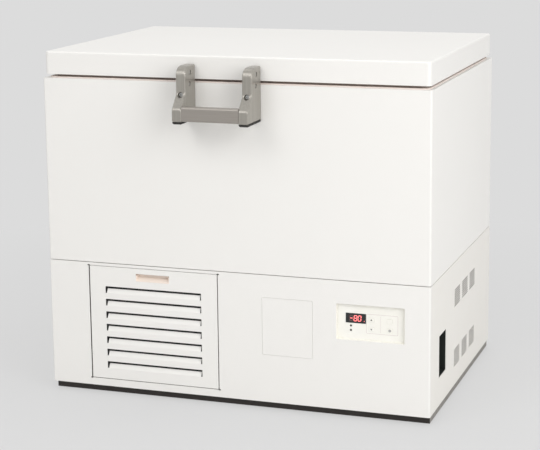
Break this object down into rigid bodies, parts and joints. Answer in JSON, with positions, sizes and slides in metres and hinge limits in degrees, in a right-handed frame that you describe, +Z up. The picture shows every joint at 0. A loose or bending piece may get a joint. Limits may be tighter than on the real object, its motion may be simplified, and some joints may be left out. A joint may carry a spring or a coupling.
{
  "type": "laboratory freezer",
  "caption": "White laboratory chest freezer: rear-hinged insulated lid with a grey pull handle, over a machine base with a louvred filter grille and a recessed control panel.",
  "frame": {"origin": "on the floor, under the middle of the outline from the handle's front to the rear spacers", "axes": "+X to the right seen from the front, -Y to the front, +Z up"},
  "size_m": [1.09, 0.91, 0.96],
  "materials": {
    "white_paint": "semi-gloss",
    "grey_steel": "satin",
    "dark_paint": "satin",
    "handle_metal": "satin",
    "bright_steel": "brushed",
    "black_rubber": "matt",
    "black_plastic": "matt",
    "cream_plastic": "satin",
    "grey_plastic": "satin",
    "gasket_rubber": "matt",
    "tank_steel": "brushed",
    "foam": "matt",
    "copper": "satin",
    "fin_metal": "satin",
    "board_green": "satin",
    "display_glass": "gloss",
    "display_black": "gloss",
    "lamp": "gloss",
    "filter_weave": "matt"
  },
  "bodies": {
    "cabinet": {"base_frame": "grey_steel", "floor_pads": "black_rubber", "kick_plate": "dark_paint", "machine_deck": "grey_steel", "base_front_panel": "white_paint", "base_side_left": "white_paint", "base_side_right": "white_paint", "base_rear_panel": "white_paint", "cord_gland": "black_plastic", "rear_spacers": "black_plastic", "grille_magnets": "grey_plastic", "filter_holder": "grey_steel", "filter_frame": "fin_metal", "filter_mat": "filter_weave", "recorder_cover": "white_paint", "control_tray": "cream_plastic", "control_overlay": "cream_plastic", "display_module": "display_black", "display_window": "display_glass", "indicator_lamps": "lamp", "control_board": "board_green", "switch_cup": "black_plastic", "condenser_fins": "fin_metal", "condenser_tubes": "copper", "condenser_brackets": "bright_steel", "fan_shroud": "dark_paint", "fan_motor": "dark_paint", "fan_bracket": "bright_steel", "compressor_first_stage": "dark_paint", "compressor_second_stage": "dark_paint", "compressor_grommets": "black_rubber", "heat_exchanger": "black_rubber", "filter_drier": "copper", "refrigerant_pipes": "copper", "cabinet_shell": "white_paint", "inner_tank": "tank_steel", "cabinet_insulation": "foam", "evaporator_coil": "copper", "breaker_collar": "cream_plastic", "hinge_body_brackets": "bright_steel", "hinge_pins": "bright_steel", "hinge_spring_barrels": "dark_paint"},
    "lid": {"lid_shell": "white_paint", "lid_liner": "cream_plastic", "lid_insulation": "foam", "lid_gasket": "gasket_rubber", "hinge_lid_brackets": "bright_steel", "handle_arms": "handle_metal", "handle_brackets": "bright_steel", "handle_bar": "handle_metal", "handle_screws": "bright_steel", "handle_caps": "black_rubber"},
    "grille": {"filter_grille": "white_paint", "finger_pull": "cream_plastic"},
    "fan": {"fan_blade": "fin_metal"},
    "rocker": {"power_rocker": "black_plastic"},
    "up_key": {"key_up": "cream_plastic"},
    "down_key": {"key_down": "cream_plastic"},
    "alarm_key": {"key_alarm": "cream_plastic"},
    "set_key": {"key_set": "cream_plastic"}
  },
  "joints": [
    {"name": "lid_hinge", "type": "hinge", "parent": "cabinet", "child": "lid", "pos_m": [0, 0.437, 0.893], "axis": [-1, 0, 0], "range_deg": [0, 80], "stiffness_Nm_per_rad": 32, "springref_deg": 106.57},
    {"name": "grille_pull", "type": "slide", "parent": "cabinet", "child": "grille", "axis": [0, -1, 0], "range_m": [0, 0.15]},
    {"name": "fan_spin", "type": "hinge", "parent": "cabinet", "child": "fan", "pos_m": [-0.2345, -0.221, 0.192], "axis": [0, 1, 0], "continuous": true},
    {"name": "rocker_tilt", "type": "hinge", "parent": "cabinet", "child": "rocker", "pos_m": [0.512, -0.2075, 0.179], "axis": [0, -1, 0], "range_deg": [0, 16]},
    {"name": "up_press", "type": "slide", "parent": "cabinet", "child": "up_key", "axis": [0, 1, 0], "range_m": [0, 0.0007], "stiffness_N_per_m": 1500},
    {"name": "down_press", "type": "slide", "parent": "cabinet", "child": "down_key", "axis": [0, 1, 0], "range_m": [0, 0.0007], "stiffness_N_per_m": 1500},
    {"name": "alarm_press", "type": "slide", "parent": "cabinet", "child": "alarm_key", "axis": [0, 1, 0], "range_m": [0, 0.0007], "stiffness_N_per_m": 1500},
    {"name": "set_press", "type": "slide", "parent": "cabinet", "child": "set_key", "axis": [0, 1, 0], "range_m": [0, 0.0007], "stiffness_N_per_m": 1500}
  ]
}
